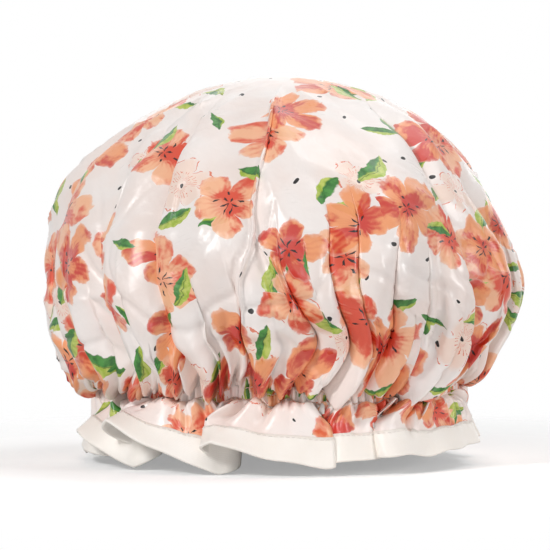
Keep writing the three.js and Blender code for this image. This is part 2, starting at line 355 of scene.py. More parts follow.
# %% [markdown]
# In each row of the crown the flat directions are spread over the panels, evenly, so that the print
# isn't stretched, and the tucks get no room of their own. A ridge runs slantwise over the cloth itself,
# while a tuck's slant is a lean of the panels beside it. Pinched tucks and ridges gape a little.

# %% Place the tucks in one row of the crown
LEAST_PANEL = 0.004
PINCHED_GAPE = 0.5
RIDGE_GAPE = 1.3
KNOT_GAP = 1e-4


def tucks_in_row(arc):
    """The tucks' directions on the flat cloth, half their width there, and their bearings in space."""
    share = arc / NECK_ARC
    slant = (tuck_top - tuck_middle) * between(0.04, 0.2, 0.25, 0.62, share)
    low_ramp = between(0.6, np.where(is_ridge, 0.74, 0.9), 0.88, 1.0, share)
    slant = slant + (tuck_low - tuck_middle) * low_ramp
    flat = np.radians(tuck_flat + np.where(is_ridge, slant, 0))
    half = tuck_hidden * tuck_growth(share) / max(arc, 1.0)
    for k in range(1, len(flat)):
        flat[k] = max(flat[k], flat[k - 1] + half[k - 1] + half[k] + LEAST_PANEL)
    panels = (np.roll(flat, -1) - flat) % FULL_TURN - half - np.roll(half, -1)
    bearing = np.concatenate([[0], np.cumsum(panels)[:-1]]) * FULL_TURN / panels.sum()
    bearing = bearing + (flat - bearing).mean()
    sway = np.sin(share * (7 + 3 * tuck_sway[0]) + 3 * tuck_sway[1])
    slant = slant + (0.8 + 0.5 * tuck_sway[2]) * sway * smooth(0.2, 0.5, share)
    return flat, half, bearing + np.radians(np.where(is_ridge, 0, slant))


def three_turns(values):
    """Angles round the ring, with a full turn of them before and after."""
    return np.concatenate([values - FULL_TURN, values, values + FULL_TURN])


def fold_knots(flat, half):
    """Directions in which each fold starts and ends, for three turns."""
    return three_turns(np.stack([flat - half - KNOT_GAP, flat + half + KNOT_GAP], axis=1).ravel())


def spread_round(turn, arc, flat, half, bearing):
    """Where the flat directions of a row come to lie round the crown."""
    gape = np.where(is_ridge, RIDGE_GAPE, np.where(tuck_lean == PINCHED, PINCHED_GAPE, 0))
    gape = tuck_growth(arc / NECK_ARC) * gape / max(0.8 * arc, 20)
    places = np.stack([bearing - gape, bearing + gape], axis=1).ravel()
    return np.interp(turn, fold_knots(flat, half), three_turns(places))


print("widest tuck half way down", round(np.degrees(tucks_in_row(NECK_ARC / 2)[1].max()), 1), "degrees")

# %% [markdown]
# A tuck goes forward, back and forward again by a sine of its place in the tuck, and sinks under the
# panel that lies on top. A pinched tuck and a ridge only go in or out. These are heights off the
# meridian, so they can be added to one another.

# %% Fold the tucks of one row
LEAST_REACH = 1e-6


def turn_from(turn, middle):
    """Angle from a direction, at most half a turn either way."""
    return (turn - middle + math.pi) % FULL_TURN - math.pi


def tuck_relief(turn, arc, flat):
    """How far the tucks move each point outwards and sideways, in millimetres."""
    growth = tuck_growth(arc / NECK_ARC)
    outward, sideways = np.zeros((2, len(turn)))
    for k in range(len(flat)):
        along = turn_from(turn, flat[k]) * arc
        reach = tuck_hidden[k] * growth[k] + LEAST_REACH
        inside = np.clip(along / reach, -1, 1)
        if tuck_lean[k] in (PINCHED, RIDGE):
            way = 1 if is_ridge[k] else -1
            shoulder = np.exp(-np.maximum(0, np.abs(along) - reach) / (7 + 3 * (k % 4)))
            outward += growth[k] * (way * reach * (1 - inside**2) - tuck_sink[k] * shoulder)
            continue
        sideways -= reach / math.pi * np.sin(math.pi * inside) * growth[k]
        lean = tuck_lean[k] * along
        under = smooth(-0.75 * reach - 1, 0.45 * reach + 1, lean)
        back_up = np.exp(-np.maximum(0, lean - 0.5 * reach) / (16 + 6 * (k % 3)))
        edge = np.exp(-((lean + 0.95 * reach + 3) / 7) ** 2)
        outward += growth[k] * (1.6 * edge - growth[k] * tuck_sink[k] * under * back_up)
    return outward, sideways


low_arc = 0.8 * NECK_ARC
deepest_tuck = tuck_relief(whole_turn, low_arc, tucks_in_row(low_arc)[0])[0].min()
print("deepest tuck", round(deepest_tuck, 1), "mm")

# %% [markdown]
# The panels between the long tucks swell, and the sides swell or draw in here and there, as in the
# photograph. Each of those places below has its side (-1 for the left one), its level on the meridian,
# its spread and its height. Gathers, slow unevenness, wrinkles and crumple lines come on top.

# %% Swell and crumple one row
undulation = drawn_chance(41, 14, 110)
wrinkle = drawn_chance(43, 16, 60)
crumple_line = drawn_chance(47, 15, 55)
upper_line = drawn_chance(49, 9, 70)
PANEL_SWELL = 4.5
LONG_TUCK = 10
LOW_LEFT_SWELL = 4
SIDE_SWELLS = [
    (-1, 0.51, 0.07, 4.5),
    (-1, 0.73, 0.055, -3.5),
    (1, 0.67, 0.07, -2.8),
]


def panel_of(around, edges):
    """Which panel between these edges a bearing lies in, and how far across it, from 0 to 1."""
    ends = np.append(edges, edges[0] + FULL_TURN)
    wrapped = edges[0] + (around - edges[0]) % FULL_TURN
    which = np.clip(np.searchsorted(ends, wrapped, side="right") - 1, 0, len(edges) - 1)
    return which, np.clip((wrapped - ends[which]) / (ends[which + 1] - ends[which]), 0, 1)


def crown_swells(turn, arc, around, bearing, side):
    """How far panels, sides, gathers and crumples stand out in a row of the crown, in millimetres."""
    share = arc / NECK_ARC
    _, across = panel_of(around, np.sort(bearing[tuck_hidden >= LONG_TUCK]))
    panel = PANEL_SWELL * (np.sin(math.pi * across) ** 0.8 - 0.5)
    outward = panel * between(0.1, 0.45, 0.8, 0.97, share)
    low_left = np.maximum(0, -np.sin(around)) ** 3 * between(0.68, 0.82, 0.86, 0.97, share)
    outward += LOW_LEFT_SWELL * low_left
    for hand, level, spread, height in SIDE_SWELLS:
        sided = np.maximum(0, hand * np.sin(around)) ** 4
        outward += height * sided * np.exp(-(((share - level) / spread) ** 2))
    outward += gathers_above(turn, NECK_ARC - arc) * smooth(0.2, 0.5, share) * (1 - 0.5 * side)
    outward += 1.3 * undulation(turn, arc) * between(0.1, 0.5, 0.9, 1, share)
    outward -= 1.5 * np.exp(-((wrinkle(turn, arc) / 0.25) ** 2)) * smooth(0.3, 0.8, share)
    crumpled = (1.0 - 0.6 * np.sin(around)) * between(0.5, 0.75, 0.9, 0.98, share)
    outward += 1.9 * np.exp(-np.abs(crumple_line(turn, arc)) / 0.7) * crumpled
    rounded = np.sqrt(upper_line(turn, arc) ** 2 + 0.02)
    outward += 2.4 * (np.exp(-rounded / 0.55) - 0.35) * between(0.08, 0.25, 0.6, 0.8, share)
    return outward


print("panels between long tucks", int((tuck_hidden >= LONG_TUCK).sum()))

# %% [markdown]
# Now a whole row of the crown: the meridian, blended from the front's to the sides', with all of those
# heights along its normal. The left side hangs down fully, and the right side hardly does. Just above
# the elastic the cloth bags out and sags over it.

# %% Lay one row of the crown
SLOPE_STEP = 0.004
RIGHT_HANGS = 0.05
LEAST_RADIUS = 20


def ring_points(radius, around, height):
    """Points round the axis. Bearing 0 is in front, and bearings grow towards the right."""
    return np.stack([radius * np.sin(around), -radius * np.cos(around), height + 0 * around], axis=1)


def crown_profile(share, side):
    """Radius, height and downward heading of the meridian, from the front's to the sides' by side."""
    ends = []
    for line in (FRONT_MERIDIAN, SIDE_MERIDIAN):
        here, ahead, behind = (
            np.array([np.interp(at, MERIDIAN_STEPS, line[:, k]) for k in (0, 1)])
            for at in (share, min(share + SLOPE_STEP, 1), max(share - SLOPE_STEP, 0))
        )
        ends.append([*here, *((ahead - behind) / np.linalg.norm(ahead - behind))])
    return [front + (sides - front) * side for front, sides in zip(*ends)]


def crown_row(turn, arc, inset):
    """Points of the crown at a distance from the middle of the circle, this far inside the satin."""
    share = arc / NECK_ARC
    flat, half, bearing = tucks_in_row(arc)
    around = spread_round(turn, arc, flat, half, bearing)
    side = np.sin(around) ** 2 * np.where(np.sin(around) > 0, RIGHT_HANGS, 1.0)
    outward, sideways = tuck_relief(turn, arc, flat)
    outward += crown_swells(turn, arc, around, bearing, side) - inset
    bag = (2 + 6.5 * swelling(turn)) * between(0, 8, 9, 48, NECK_ARC - arc) * (1 - 0.7 * side)
    bag = bag * (1 - 0.6 * np.maximum(0, np.sin(around)) ** 2)
    radius, height, down_radius, down_height = crown_profile(share, side)
    radius = radius - down_height * outward + 0.45 * bag
    height = height + down_radius * outward - bag
    around = around + sideways / np.maximum(radius, LEAST_RADIUS)
    return ring_points(radius, around, height)


fullest_row = crown_row(whole_turn, 0.66 * NECK_ARC, 0)
print("crown's width near its fullest", round(np.ptp(fullest_row[:, 0]), 1), "mm")

# %% [markdown]
# The frill springs from the channel. Where a gather swells, the cloth goes outwards first and then
# turns down, so the frill's top is a row of little domes. Its hem lies in broad panels with narrow folds
# between them, like the tucks above but deeper. Each fold below has its bearing, its hidden cloth, how
# far it turns in, which panel lies on top, how far the panel to its right swings out, how much further
# the top panel swings out at the fold itself, and how high the hem of the panel to its right is lifted
# at its left and its right end.

# %% List the folds of the frill
FOLDS = [
    (-172, 15, 15, 1, 14, 4, 3, 0),
    (-140, 16, 16, -1, 17, 8, 5, 2),
    (-107, 14, 15, 1, 13, 5, 5, 5),
    (-69, 16, 16, -1, 15, 8, 14, 1),
    (-50, 19, 19, -1, 13, 16, 19, 0),
    (-19, 18, 18, -1, 10, 8, 14, 3),
    (12, 14, 15, 1, 12, 6, 5, 8),
    (32, 17, 17, -1, 9, 9, 7, 11),
    (74, 15, 15, 1, 4, 4, 11, 9),
    (102, 15, 16, -1, 6, 3, 10, 4),
    (131, 17, 17, 1, 16, 10, 0, 4),
    (158, 14, 15, -1, 13, 6, 6, 2),
]
fold_bearing, fold_hidden, fold_sink, fold_lean, panel_flare, fold_swing = np.array(FOLDS).T[:6]
lift_start, lift_end = np.array(FOLDS).T[6:]


def fold_places():
    """Where the folds lie on the flat strip, so that hidden and seen cloth share its length fairly."""
    seen = np.radians(np.diff(np.append(fold_bearing, fold_bearing[0] + 360))) * (RING_RADIUS + 12)
    spans = seen + fold_hidden + np.roll(fold_hidden, -1)
    turns = np.concatenate([[0], np.cumsum(spans * FULL_TURN / spans.sum())[:-1]])
    return turns + (np.radians(fold_bearing) - turns).mean()


fold_flat = fold_places()
print("folds on the flat strip", np.round(np.degrees(fold_flat)).astype(int))

# %% [markdown]
# One row of the frill: the panels and their lifted hems, the folds between them, then the way out and
# down from the channel, summed along the cloth. The hem can't sink through what it stands on, so a
# soft maximum keeps it just above the floor.

# %% Lay one row of the frill
fold_wave = ring_chance(51, 8, 26)
hem_wave = ring_chance(53, 12, 40)
CLOTH_RUN = 172.0
LEAST_FLARE = 2
HEM_LEVEL = 0.1
HEM_SOFTNESS = 0.6
PROFILE = (np.arange(40)[:, None] + 0.5) / 40


def frill_folds(turn, laid):
    """How far the folds move each point sideways and inwards, and how far panels swing out there."""
    sideways, inward, swing = np.zeros((3, len(turn)))
    for k in range(len(fold_flat)):
        along = turn_from(turn, fold_flat[k]) * CLOTH_RUN
        reach = fold_hidden[k] * laid + LEAST_REACH
        inside = np.clip(along / reach, -1, 1)
        sideways -= 1.25 * reach / math.pi * np.sin(math.pi * inside) * laid
        lean = fold_lean[k] * along
        under = smooth(-0.8 * reach - 1, 0.4 * reach + 1, lean)
        back_up = np.exp(-np.maximum(0, lean - 0.4 * reach) / 11)
        inward += laid * fold_sink[k] * under * back_up
        on_top = np.exp(-np.maximum(0, -lean - reach) / 22)
        on_top = on_top * (1 - smooth(-0.9 * reach, 0.7 * reach, lean))
        swing += fold_swing[k] * on_top * laid
    return sideways, inward, swing


def frill_row(turn, below):
    """Points at a distance below the channel, measured along the cloth."""
    laid = smooth(0, FRILL_LENGTH * 0.5, below)
    calmed = smooth(0, FRILL_LENGTH * 0.75, below)
    knots = fold_knots(fold_flat, fold_hidden * laid / CLOTH_RUN)
    places = np.repeat(fold_flat + (np.radians(fold_bearing) - fold_flat) * laid, 2)
    around = np.interp(turn, knots, three_turns(places))
    levels = np.tile(np.stack([np.roll(lift_end, 1), lift_start], axis=1).ravel(), 3)
    lifted = np.interp(turn, knots, levels) * (below / FRILL_LENGTH) ** 1.3

    sideways, inward, swing = frill_folds(turn, laid)
    which, share = panel_of(turn, fold_flat)
    flare = LEAST_FLARE + (panel_flare[which] - LEAST_FLARE) * np.sin(math.pi * share) ** 0.5
    flare = np.radians(flare + 2.2 * fold_wave(turn) * laid + 0.4 * lifted + swing)
    outward, downward = np.zeros((2, len(turn)))
    for swell, weight in ((swelling(turn), 1 - calmed), (0.5, calmed)):
        springing = np.radians(45 + 100 * swell)
        heading = flare + (springing - flare) * (1 - smooth(0, 13, below * PROFILE))
        outward += weight * below * np.sin(heading).mean(axis=0)
        downward += weight * below * np.cos(heading).mean(axis=0)
    ribs = 1.4 * fine_gathers(turn) * (1 - smooth(1, 14, below))
    ribs = ribs + 3.3 * middle_gathers(turn) * between(-3, 4, 9, 33, below)
    radius = BARE_RADIUS + outward + ribs - inward
    free = NECK_LOW - downward + lifted + 0.35 * hem_wave(turn) * laid
    height = HEM_LEVEL + np.logaddexp(0, (free - HEM_LEVEL) / HEM_SOFTNESS) * HEM_SOFTNESS
    return ring_points(radius, around + sideways / radius, height)


print("hem's width", round(np.ptp(frill_row(whole_turn, FRILL_LENGTH)[:, 0]), 1), "mm")

# %% [markdown]
# Between crown and frill lies the channel of the elastic. Here the satin's gathers can only stand
# outwards, because the elastic is behind them, and the lining's can only stand inwards. The lining hangs
# free inside the crown, about 10 mm from the satin, and its tucks lie behind the satin's.

# %% Lay one row of the satin or the lining
SATIN = 1
LINING = -1
CLOTH_OFF_ELASTIC = 1.0
LEAST_STAND = 0.1
GATHER_FOOT = 2.2


def sheet_row(turn, arc, face):
    """Points of a layer, of the satin or of the lining."""
    if arc <= NECK_ARC:
        inset = 2 + 8 * smooth(5, 60, arc) * smooth(0, 25, NECK_ARC - arc)
        points = crown_row(turn, arc, 0 if face == SATIN else inset)
    elif arc < CHANNEL_ARC:
        share = (arc - NECK_ARC) / (CHANNEL_ARC - NECK_ARC)
        height = NECK_TOP + (NECK_LOW - NECK_TOP) * share
        points = ring_points(BARE_RADIUS + 1.6 * fine_gathers(turn), turn, height)
    else:
        points = frill_row(turn, arc - CHANNEL_ARC)
    radius = np.hypot(points[:, 0], points[:, 1])
    stand_out = np.maximum(GATHER_FOOT + (radius - BARE_RADIUS), LEAST_STAND)
    pressed = RING_RADIUS + face * (CLOTH_OFF_ELASTIC + stand_out)
    in_channel = between(NECK_ARC - 5, NECK_ARC + 1, CHANNEL_ARC - 1, CHANNEL_ARC + 5, arc)
    wanted = radius + (pressed - radius) * in_channel
    points[:, :2] *= (wanted / np.maximum(radius, 1e-6))[:, None]
    near_ring = between(NECK_ARC - 30, NECK_ARC - 2, CHANNEL_ARC + 2, CHANNEL_ARC + 26, arc)
    points[:, 2] += ring_lift(turn) * near_ring
    return points


channel = [sheet_row(whole_turn, (NECK_ARC + CHANNEL_ARC) / 2, face) for face in (SATIN, LINING)]
gap = np.linalg.norm(channel[0] - channel[1], axis=1).min()
print("room for the elastic in its channel", round(gap, 2), "mm")

# %% [markdown]
# A sheet becomes a mesh: rows of points joined by quads. Near the middle of the circle the same number
# of columns would crowd together, so the rows there have half, a quarter or an eighth of them, and
# triangles join a coarse row to a fine one. The flat places go into the UV map, in units of a metre.

# %% Turn rows into a mesh
def stitched_faces(counts):
    """Faces between rows of points, where a row may have twice the points of the row before it."""
    faces = []
    starts = np.concatenate([[0], np.cumsum(counts)])
    for k in range(len(counts) - 1):
        few, many = counts[k], counts[k + 1]
        j = np.arange(few)
        a, b = starts[k] + j, starts[k] + (j + 1) % few
        if few == 1:
            ring = np.arange(many)
            first, second = starts[k + 1] + ring, starts[k + 1] + (ring + 1) % many
            faces += np.stack([0 * first + starts[k], first, second], axis=1).tolist()
        elif few == many:
            c, d = starts[k + 1] + j, starts[k + 1] + (j + 1) % many
            faces += np.stack([a, c, d, b], axis=1).tolist()
        else:
            c, d, e = (starts[k + 1] + (2 * j + i) % many for i in range(3))
            for corners in ((a, c, d), (a, d, b), (b, d, e)):
                faces += np.stack(corners, axis=1).tolist()
    return faces


def mesh_object(name, points, faces, places=None):
    """A smooth object from points in millimetres, with places on the flat cloth as its UV map."""
    mesh = bpy.data.meshes.new(name)
    mesh.from_pydata((np.asarray(points) * MM).tolist(), [], faces)
    if places is not None:
        corners = np.empty(len(mesh.loops), dtype=np.int32)
        mesh.loops.foreach_get("vertex_index", corners)
        layer = mesh.uv_layers.new(name="flat_cloth")
        layer.data.foreach_set("uv", (np.asarray(places)[corners] * MM).astype(np.float32).ravel())
    mesh.shade_smooth()
    made = bpy.data.objects.new(name, mesh)
    scene.collection.objects.link(made)
    return made


print("faces from 1 to 4 to 8 points", len(stitched_faces([1, 4, 8])))

# %% [markdown]
# The satin's rows lie closest together near the elastic, where the gathers are finest. Its columns start
# inside a fold at the back, so that the print's seam is out of sight.

# %% Make the satin
COLUMNS = 960
FEWEST_COLUMNS = 60
CLOSEST_COLUMNS = 0.8
SEAM_TURN = math.radians(-172)
STRIP_SHIFT = 2000


def row_arcs(start, end, pace):
    return np.linspace(start, end, max(2, round((end - start) / pace) + 1))


def turns_of(count):
    return SEAM_TURN + np.arange(count) * FULL_TURN / count


def columns_at(arc, most):
    """How many points a row has. The middle of the circle is a single point."""
    count = most if arc > 0 else 1
    while count > FEWEST_COLUMNS and FULL_TURN * arc / count < CLOSEST_COLUMNS:
        count //= 2
    return count


def flat_places(turn, arc):
    """Places on the flat cloth. The frill takes its print from a strip as long as its own hem."""
    if arc < CHANNEL_ARC:
        return np.stack([arc * np.sin(turn), -arc * np.cos(turn)], axis=1)
    return np.stack([turn * CLOTH_RUN + STRIP_SHIFT, 0 * turn - arc], axis=1)


def sheet_rows(arcs, most, face):
    return [sheet_row(turns_of(columns_at(arc, most)), arc, face) for arc in arcs]


def round_sheet(name, arcs, rows):
    counts = [len(row) for row in rows]
    places = [flat_places(turns_of(count), arc) for count, arc in zip(counts, arcs)]
    return mesh_object(name, np.vstack(rows), stitched_faces(counts), np.vstack(places))


satin_arcs = np.concatenate([
    [0],
    row_arcs(5, 60, 5),
    row_arcs(62.5, 170, 2.5),
    row_arcs(171.5, NECK_ARC - 20, 1.6),
    row_arcs(NECK_ARC - 19, CHANNEL_ARC + 14, 1.0),
    row_arcs(CHANNEL_ARC + 15.2, EDGE_ARC, 1.4),
])
satin = round_sheet("satin_cover", satin_arcs, sheet_rows(satin_arcs, COLUMNS, SATIN))
print("satin", len(satin.data.vertices), "points,", len(satin_arcs), "rows")

# %% [markdown]
# The lining is the second sheet. In the frill it lies half a millimetre behind the satin, so that part is
# a grid moved along its own normals. The crown has half as many columns.

# %% Make the lining
BEHIND_SATIN = 0.5


def grid_of(arcs, face):
    turn = turns_of(COLUMNS)
    return np.stack([sheet_row(turn, arc, face) for arc in arcs])


def grid_normals(grid):
    """Unit normals of a grid that closes round the ring. They point outwards."""
    across = np.roll(grid, -1, axis=1) - np.roll(grid, 1, axis=1)
    normal = np.cross(np.gradient(grid, axis=0), across)
    return normal / np.linalg.norm(normal, axis=2, keepdims=True)


upper_arcs = np.concatenate([[0], row_arcs(8, 200, 8), row_arcs(204, NECK_ARC - 4, 3.5)])
lower_arcs = np.concatenate([
    row_arcs(NECK_ARC - 3, CHANNEL_ARC + 14, 1.3),
    row_arcs(CHANNEL_ARC + 16, EDGE_ARC, 2),
])
lower_lining = grid_of(lower_arcs, LINING)
lower_lining -= BEHIND_SATIN * grid_normals(lower_lining)
lining_rows = sheet_rows(upper_arcs, COLUMNS // 2, LINING) + list(lower_lining)
lining = round_sheet("lining_film", np.concatenate([upper_arcs, lower_arcs]), lining_rows)
print("lining", len(lining.data.vertices), "points")

# %% [markdown]
# The binding is one strip folded over both raw edges. Its section is worked out first: how far past the
# edge each point lies, and how far off the satin's face. The strip has a thickness of its own, so its
# top edge shows as a small step on the satin.

# %% Fold the binding round the hem
BINDING_STEPS = np.linspace(-BINDING_WIDTH, 0, 8)
STRIP = 0.35
FOLD_MIDDLE = -0.35
FOLD_INSIDE = 0.55
hem_grid = grid_of(EDGE_ARC + BINDING_STEPS, SATIN)
hem_normals = grid_normals(hem_grid)
edge_heading = hem_grid[-1] - hem_grid[-2]
edge_heading /= np.linalg.norm(edge_heading, axis=1, keepdims=True)


def folded_layer(reach):
    """Rows down the outside, round the fold and up the inside, this far from the fold's middle."""
    outside = list(hem_grid + hem_normals * (FOLD_MIDDLE + reach))
    inside = list(hem_grid + hem_normals * (FOLD_MIDDLE - reach))
    fold = []
    for angle in np.linspace(0, math.pi, 7)[1:-1]:
        height = FOLD_MIDDLE + reach * math.cos(angle)
        fold.append(hem_grid[-1] + hem_normals[-1] * height + edge_heading * reach * math.sin(angle))
    return outside + fold + inside[::-1]


def ring_faces(rows, columns):
    """Quads over rows of points that close on themselves both ways."""
    faces = []
    column = np.arange(columns)
    after = (column + 1) % columns
    for i in range(rows):
        here, there = i * columns, (i + 1) % rows * columns
        faces += np.stack([here + column, there + column, there + after, here + after], axis=1).tolist()
    return faces


section = folded_layer(FOLD_INSIDE + STRIP) + folded_layer(FOLD_INSIDE)[::-1]
section_steps = [np.linalg.norm(b - a, axis=1).mean() for a, b in zip(section, section[1:])]
hem_length = np.linalg.norm(np.roll(hem_grid[-1], -1, axis=0) - hem_grid[-1], axis=1).sum()
strip_places = np.vstack([
    np.stack([np.arange(COLUMNS) / COLUMNS * hem_length, np.full(COLUMNS, length)], axis=1)
    for length in np.cumsum([0] + section_steps)
])
strip_faces = ring_faces(len(section), COLUMNS)
binding = mesh_object("hem_binding_strip", np.vstack(section), strip_faces, strip_places)
print("binding", len(binding.data.vertices), "points, hem", round(hem_length), "mm long")

# %% [markdown]
# The elastic is a knitted band with five ribs along each face. It is hidden in the channel, but it is
# there, and it sets where everything else gathers.

# %% Knit the elastic
RIBS = 5
BAND_HALF = 2.9
BAND_COLUMNS = 480
BAND_LOOPS = 120
levels = np.linspace(-1, 1, 31)
ribbed = 0.42 + 0.09 * np.cos(levels * RIBS * math.pi)
band_section = list(zip(ribbed, levels * BAND_HALF)) + list(zip(-ribbed, levels[::-1] * BAND_HALF))
band_turns = np.arange(BAND_COLUMNS) * FULL_TURN / BAND_COLUMNS
band_rows = []
for out, level in band_section:
    radius = RING_RADIUS + out * (1 + 0.06 * np.sin(band_turns * BAND_LOOPS))
    band_rows.append(ring_points(radius, band_turns, RING_MIDDLE + level + ring_lift(band_turns)))
elastic = mesh_object("knitted_elastic", np.vstack(band_rows), ring_faces(len(band_rows), BAND_COLUMNS))
print("elastic", len(elastic.data.vertices), "points")

# %% [markdown]
# Stitches are short pieces of thread. Each one comes out of the cloth, lies on it and goes back in, so a
# seam is a row of separate little arched tubes.

# %% Bend the stitches
STITCH_PITCH = 2.9
STITCH_SHARE = 0.74
THREAD = 0.38
STITCH_LIFT = np.array([-0.9, 0.4, 0.7, 0.4, -0.9])
RINGS = len(STITCH_LIFT)
SIDES = 5
side_angles = np.arange(SIDES) * FULL_TURN / SIDES


def unit(vectors):
    return vectors / np.linalg.norm(vectors, axis=2, keepdims=True)


def stitches(line, normals):
    """Points and faces of stitches along a closed line on the cloth."""
    length = lengths_along(np.vstack([line, line[:1]]))
    count = int(length[-1] / STITCH_PITCH)
    along = (np.arange(count)[:, None] + np.linspace(0, STITCH_SHARE, RINGS)) * length[-1] / count

    def sample(values):
        around = np.vstack([values, values[:1]])
        return np.stack([np.interp(along, length, around[:, k]) for k in range(3)], axis=2)

    up = unit(sample(normals))
    middle = sample(line) + up * STITCH_LIFT[:, None] * THREAD
    heading = np.gradient(middle, axis=1)
    across = unit(np.cross(heading, up))
    over = unit(np.cross(across, heading))
    turned = across[:, :, None] * np.cos(side_angles)[:, None]
    turned = turned + over[:, :, None] * np.sin(side_angles)[:, None]
    points = (middle[:, :, None] + turned * THREAD / 2).reshape(-1, 3)
    faces = []
    for start in range(0, len(points), RINGS * SIDES):
        last = start + (RINGS - 1) * SIDES
        for ring in range(start, last, SIDES):
            for side in range(SIDES):
                a, b = ring + side, ring + (side + 1) % SIDES
                faces.append((a, b, b + SIDES, a + SIDES))
        faces.append(tuple(range(start + SIDES - 1, start - 1, -1)))
        faces.append(tuple(range(last, last + SIDES)))
    return points, faces


print("thread", THREAD, "mm thick, a stitch every", STITCH_PITCH, "mm")

# %% [markdown]
# Two seams close the elastic's channel, one above and one below the band. The binding's seam shows on
# both faces of the frill, so it has two rows of stitches.

# %% Sew the seams
LINE_STEP = 0.4
OFF_SATIN = 0.08
OFF_BINDING = 0.05
FROM_CHANNEL_EDGE = 0.3
FROM_BINDING_EDGE = 1.5


def seam(name, rows):
    """One object from several rows of stitches, each with its line and normals."""
    points, faces = [], []
    for line, normals in rows:
        more_points, more_faces = stitches(line, normals)
        faces += [tuple(corner + len(points) for corner in face) for face in more_faces]
        points += more_points.tolist()
    print(name, len(points) // (RINGS * SIDES), "stitches")
    return mesh_object(name, points, faces)


def cloth_line(arc, off):
    """A line round the cloth, this far off the satin's face, and the normals along it."""
    grid = grid_of([arc - LINE_STEP, arc, arc + LINE_STEP], SATIN)
    normals = grid_normals(grid)[1]
    return grid[1] + off * normals, normals


upper_seam = seam("channel_stitches_upper", [cloth_line(NECK_ARC + FROM_CHANNEL_EDGE, OFF_SATIN)])
lower_seam = seam("channel_stitches_lower", [cloth_line(CHANNEL_ARC - FROM_CHANNEL_EDGE, OFF_SATIN)])
hem_arc = EDGE_ARC - BINDING_WIDTH + FROM_BINDING_EDGE
fold_reach = FOLD_INSIDE + STRIP + OFF_BINDING
outside_line, hem_line_normals = cloth_line(hem_arc, FOLD_MIDDLE + fold_reach)
inside_line, _ = cloth_line(hem_arc, FOLD_MIDDLE - fold_reach)
hem_seam = seam("hem_stitches", [(outside_line, hem_line_normals), (inside_line, -hem_line_normals)])

# %% [markdown]
# The materials are node trees. Written out node by node they would be hard to read, so one small class
# wraps an output and lets it be added, multiplied and compared like a number. Its method make adds any
# other kind of node: first the settings, then the inputs.

# %% Wrap shader sockets
def is_vector(part):
    return isinstance(part, tuple) or isinstance(part, Wire) and part.socket.type in ("VECTOR", "RGBA")


class Wire:
    def __init__(self, tree, socket=None):
        self.tree = tree
        self.socket = socket

    def make(self, kind, settings=None, inputs=None, output=0):
        node = self.tree.nodes.new(kind)
        for name, value in (settings or {}).items():
            setattr(node, name, value)
        for name, value in (inputs or {}).items():
            if isinstance(value, Wire):
                value.feed(node.inputs[name])
            else:
                node.inputs[name].default_value = value
        return Wire(self.tree, node.outputs[output])

    def feed(self, socket):
        """Link this wire to an input."""
        self.tree.links.new(self.socket, socket)

    def math(self, operation, *others):
        return self.make("ShaderNodeMath", {"operation": operation}, dict(enumerate((self, *others))))

    def pair(self, operation, first, second):
        """One operation between two wires or numbers, for vectors where either is one."""
        kind = "ShaderNodeMath"
        parts = (first, second)
        if any(is_vector(part) for part in parts):
            kind = "ShaderNodeVectorMath"
            parts = ((part,) * 3 if isinstance(part, (int, float)) else part for part in parts)
        return self.make(kind, {"operation": operation}, dict(enumerate(parts)))

    def __add__(self, other):
        return self.pair("ADD", self, other)

    def __radd__(self, other):
        return self.pair("ADD", other, self)

    def __sub__(self, other):
        return self.pair("SUBTRACT", self, other)

    def __rsub__(self, other):
        return self.pair("SUBTRACT", other, self)

    def __mul__(self, other):
        return self.pair("MULTIPLY", self, other)

    def __rmul__(self, other):
        return self.pair("MULTIPLY", other, self)

    def __truediv__(self, other):
        return self.pair("DIVIDE", self, other)

    def __rtruediv__(self, other):
        return self.pair("DIVIDE", other, self)

    def __pow__(self, other):
        return self.pair("POWER", self, other)

    def __rpow__(self, other):
        return self.pair("POWER", other, self)

    def __abs__(self):
        return self.math("ABSOLUTE")

    def __lt__(self, other):
        return self.math("LESS_THAN", other)

    def __gt__(self, other):
        return self.math("GREATER_THAN", other)

    def parts(self):
        """The three numbers of a vector or colour."""
        node = self.make("ShaderNodeSeparateXYZ", inputs={0: self}).socket.node
        return [Wire(self.tree, socket) for socket in node.outputs]

    def ease(self, low, high):
        """0 below low, 1 above high and a smooth step between."""
        settings = {"interpolation_type": "SMOOTHSTEP"}
        return self.make("ShaderNodeMapRange", settings, {"Value": self, "From Min": low, "From Max": high})

    def blend(self, before, after):
        """Colour between two colours, by this wire as the share of the second."""
        return self.make("ShaderNodeMix", {"data_type": "RGBA"}, {0: self, 6: before, 7: after}, 2)

    def noise(self, size, detail=3, output=0):
        """Cloudy chance over these places, with clouds about this large."""
        inputs = {"Vector": self, "Scale": 1 / size, "Detail": detail}
        return self.make("ShaderNodeTexNoise", {"noise_dimensions": "2D"}, inputs, output)

    def waves(self, pitch):
        """Even waves, one to each pitch."""
        return (self * (FULL_TURN / pitch)).math("SINE")

    def bump(self, strength, distance, **more):
        """A normal that follows this wire as a height."""
        inputs = {"Strength": strength, "Distance": distance, "Height": self, **more}
        return self.make("ShaderNodeBump", inputs=inputs)


print("the wrapper has", len([name for name in vars(Wire) if callable(getattr(Wire, name))]), "methods")

# %% [markdown]
# A material starts from Blender's Principled shader. Colours are written as on screen and turned into
# the linear numbers that a shader takes, and patterns are measured in millimetres, on the flat cloth
# where there is one.

# %% Start a material
MM_IN_A_METRE = 1000.0


def new_material(name, **constants):
    """A material with these constants on its shader, a wire to build on and the shader's inputs."""
    material = bpy.data.materials.new(name)
    material.use_nodes = True
    shader = material.node_tree.nodes["Principled BSDF"]
    for key, value in constants.items():
        shader.inputs[key.replace("_", " ")].default_value = value
    return material, Wire(material.node_tree), shader.inputs


